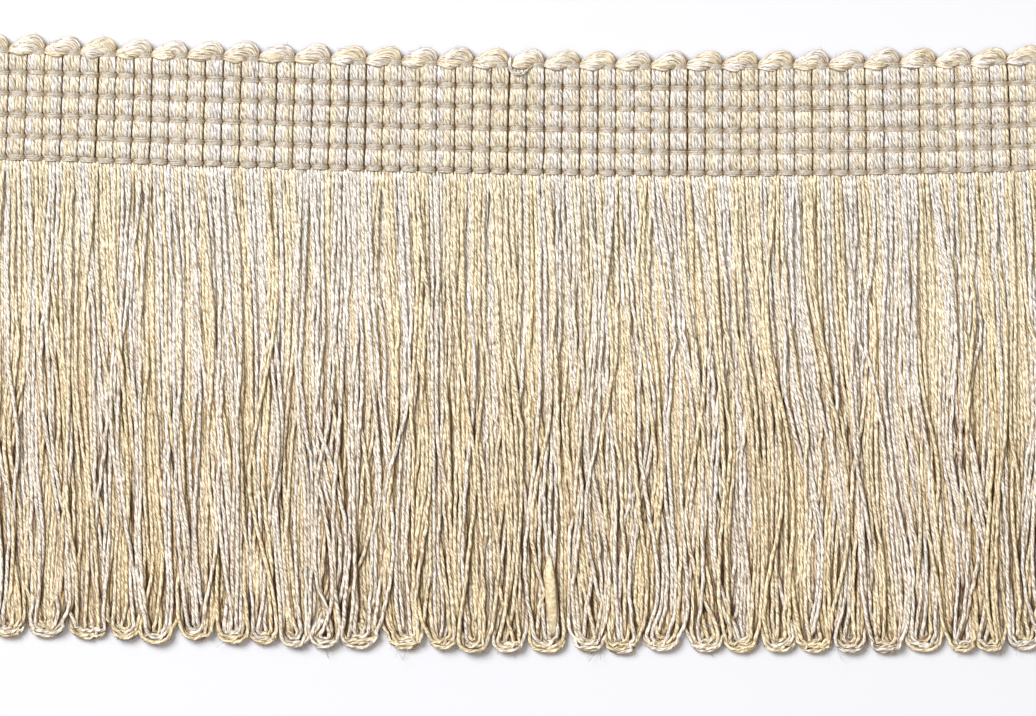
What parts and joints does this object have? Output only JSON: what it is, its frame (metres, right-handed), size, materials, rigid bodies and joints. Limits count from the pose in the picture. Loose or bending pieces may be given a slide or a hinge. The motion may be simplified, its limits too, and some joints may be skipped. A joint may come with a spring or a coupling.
{
  "type": "fringe trim",
  "caption": "Woven fringe trim lying face up: a flat ribbed heading with a scalloped upper edge, and a long skirt of looped, plied yarns in cream gold and pale silver.",
  "frame": {"origin": "middle of the heading's back, in the plane that the trim lies on", "axes": "+X along the trim's length, +Y up its drop towards the scalloped edge, +Z out of its face"},
  "size_m": [0.1891, 0.1043, 0.0022],
  "materials": {
    "heading": "matt plied yarn bound by fine taupe warp threads",
    "fringe": "soft sheen plied yarn, cream gold mixed with pale silver"
  },
  "bodies": {
    "root": {"heading": "heading", "fringe": "fringe"}
  },
  "joints": []
}
